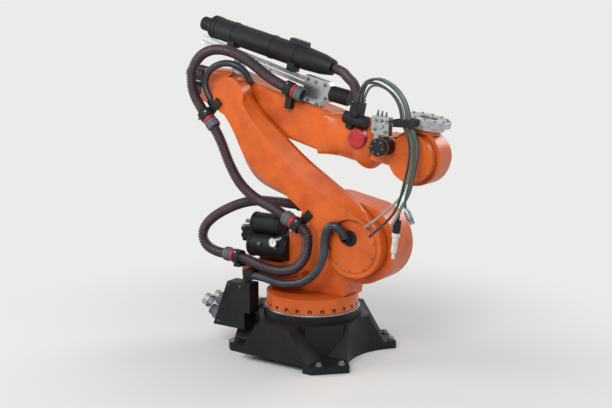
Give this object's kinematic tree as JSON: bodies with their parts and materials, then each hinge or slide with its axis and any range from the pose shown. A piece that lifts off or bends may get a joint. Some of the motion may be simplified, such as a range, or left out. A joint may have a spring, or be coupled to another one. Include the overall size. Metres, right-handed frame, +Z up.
{
  "type": "industrial robot arm",
  "caption": "Six axis floor standing industrial robot arm with cast link arm, forearm, wrist fork, tool flange, balance cylinder and corrugated hose package along its side",
  "frame": {"origin": "On the floor, at the middle of the base, on the axis the column turns about", "axes": "+Z up, +X the way the arm works forward, +Y to the robot's left; the hose package is on the -Y side"},
  "size_m": [1.7607, 0.83, 1.9328],
  "materials": {
    "bare_aluminium": "bare machined aluminium",
    "black_enamel": "satin black paint on cast iron and sheet steel",
    "black_plastic": "moulded matt black plastic",
    "cable_sheath": "smooth dark cable sheath",
    "hose_plastic": "ribbed dark grey hose plastic",
    "orange_enamel": "satin orange paint on cast metal",
    "pale_plastic": "pale moulded plastic",
    "red_plastic": "moulded red plastic"
  },
  "bodies": {
    "base": {"base_frame": "black_enamel", "bearing_ring": "black_enamel", "connection_box": "black_enamel", "box_connectors": "bare_aluminium", "stop_block": "pale_plastic"},
    "column": {"column_casting": "orange_enamel", "turntable_motor": "black_plastic", "shoulder_motor": "black_plastic", "balance_cylinder": "black_enamel", "pressure_bottle": "black_enamel", "pressure_gauge": "bare_aluminium", "column_hose": "hose_plastic", "shoulder_hose": "hose_plastic", "column_hose_clamp": "black_plastic", "hose_socket": "black_plastic", "shoulder_cable": "cable_sheath", "junction_box": "black_enamel", "cable_socket": "black_plastic", "column_red_ring": "red_plastic"},
    "link_arm_group": {"link_arm": "orange_enamel", "shoulder_cover": "orange_enamel", "link_hose_clamp": "black_plastic", "head_hose_clamp": "black_plastic", "link_hose": "hose_plastic", "link_red_rings": "red_plastic", "elbow_socket": "black_enamel"},
    "arm": {"arm_housing": "orange_enamel", "elbow_motor": "black_plastic", "elbow_hose": "hose_plastic", "arm_hose_clamp": "black_plastic", "arm_red_ring": "red_plastic", "retract_tube": "black_plastic", "guide_rail": "bare_aluminium", "rail_bracket": "bare_aluminium", "hose_guide": "black_plastic", "wrist_hose": "hose_plastic", "elbow_cable": "cable_sheath", "wrist_motors": "black_plastic", "tube_carriers": "black_enamel"},
    "wrist": {"wrist_fork": "orange_enamel", "hose_holder": "black_plastic", "red_disc": "red_plastic", "valve_block": "bare_aluminium", "rotary_coupling": "black_plastic", "outer_cable": "cable_sheath", "grey_cable": "cable_sheath", "green_cable": "cable_sheath", "cream_cable": "cable_sheath", "black_cable": "cable_sheath", "cable_tie": "black_plastic", "white_plug": "pale_plastic", "silver_plug": "bare_aluminium", "cable_outlet": "black_enamel", "valve_bracket": "bare_aluminium"},
    "swivel_head": {"swivel": "orange_enamel"},
    "flange": {"mounting_flange": "bare_aluminium", "adaptor_plate": "bare_aluminium"}
  },
  "joints": [
    {"name": "base_turn", "type": "hinge", "parent": "base", "child": "column", "pos_m": [0, 0, 0.27], "axis": [0, 0, 1], "range_deg": [-185, 185]},
    {"name": "shoulder", "type": "hinge", "parent": "column", "child": "link_arm_group", "pos_m": [0.35, 0, 0.675], "axis": [0, 1, 0], "range_deg": [-3.5, 131.5], "deforming": ["shoulder_hose", "shoulder_cable"]},
    {"name": "elbow", "type": "hinge", "parent": "link_arm_group", "child": "arm", "pos_m": [-0.48418, 0, 1.46661], "axis": [0, -1, 0], "range_deg": [-6.5, 268.5], "deforming": ["elbow_hose", "elbow_cable"]},
    {"name": "forearm_roll", "type": "hinge", "parent": "arm", "child": "wrist", "pos_m": [-0.49271, 0, 1.4265], "axis": [0.9781, 0, -0.2079], "range_deg": [-350, 350], "deforming": ["wrist_hose", "black_cable", "cream_cable", "green_cable", "grey_cable", "outer_cable", "silver_plug", "white_plug"]},
    {"name": "wrist_bend", "type": "hinge", "parent": "wrist", "child": "swivel_head", "pos_m": [0.68107, 0, 1.17701], "axis": [0, 1, 0], "range_deg": [-35, 215]},
    {"name": "flange_roll", "type": "hinge", "parent": "swivel_head", "child": "flange", "pos_m": [0.72577, 0, 1.38731], "axis": [0.2079, 0, 0.9781], "range_deg": [-350, 350]}
  ]
}
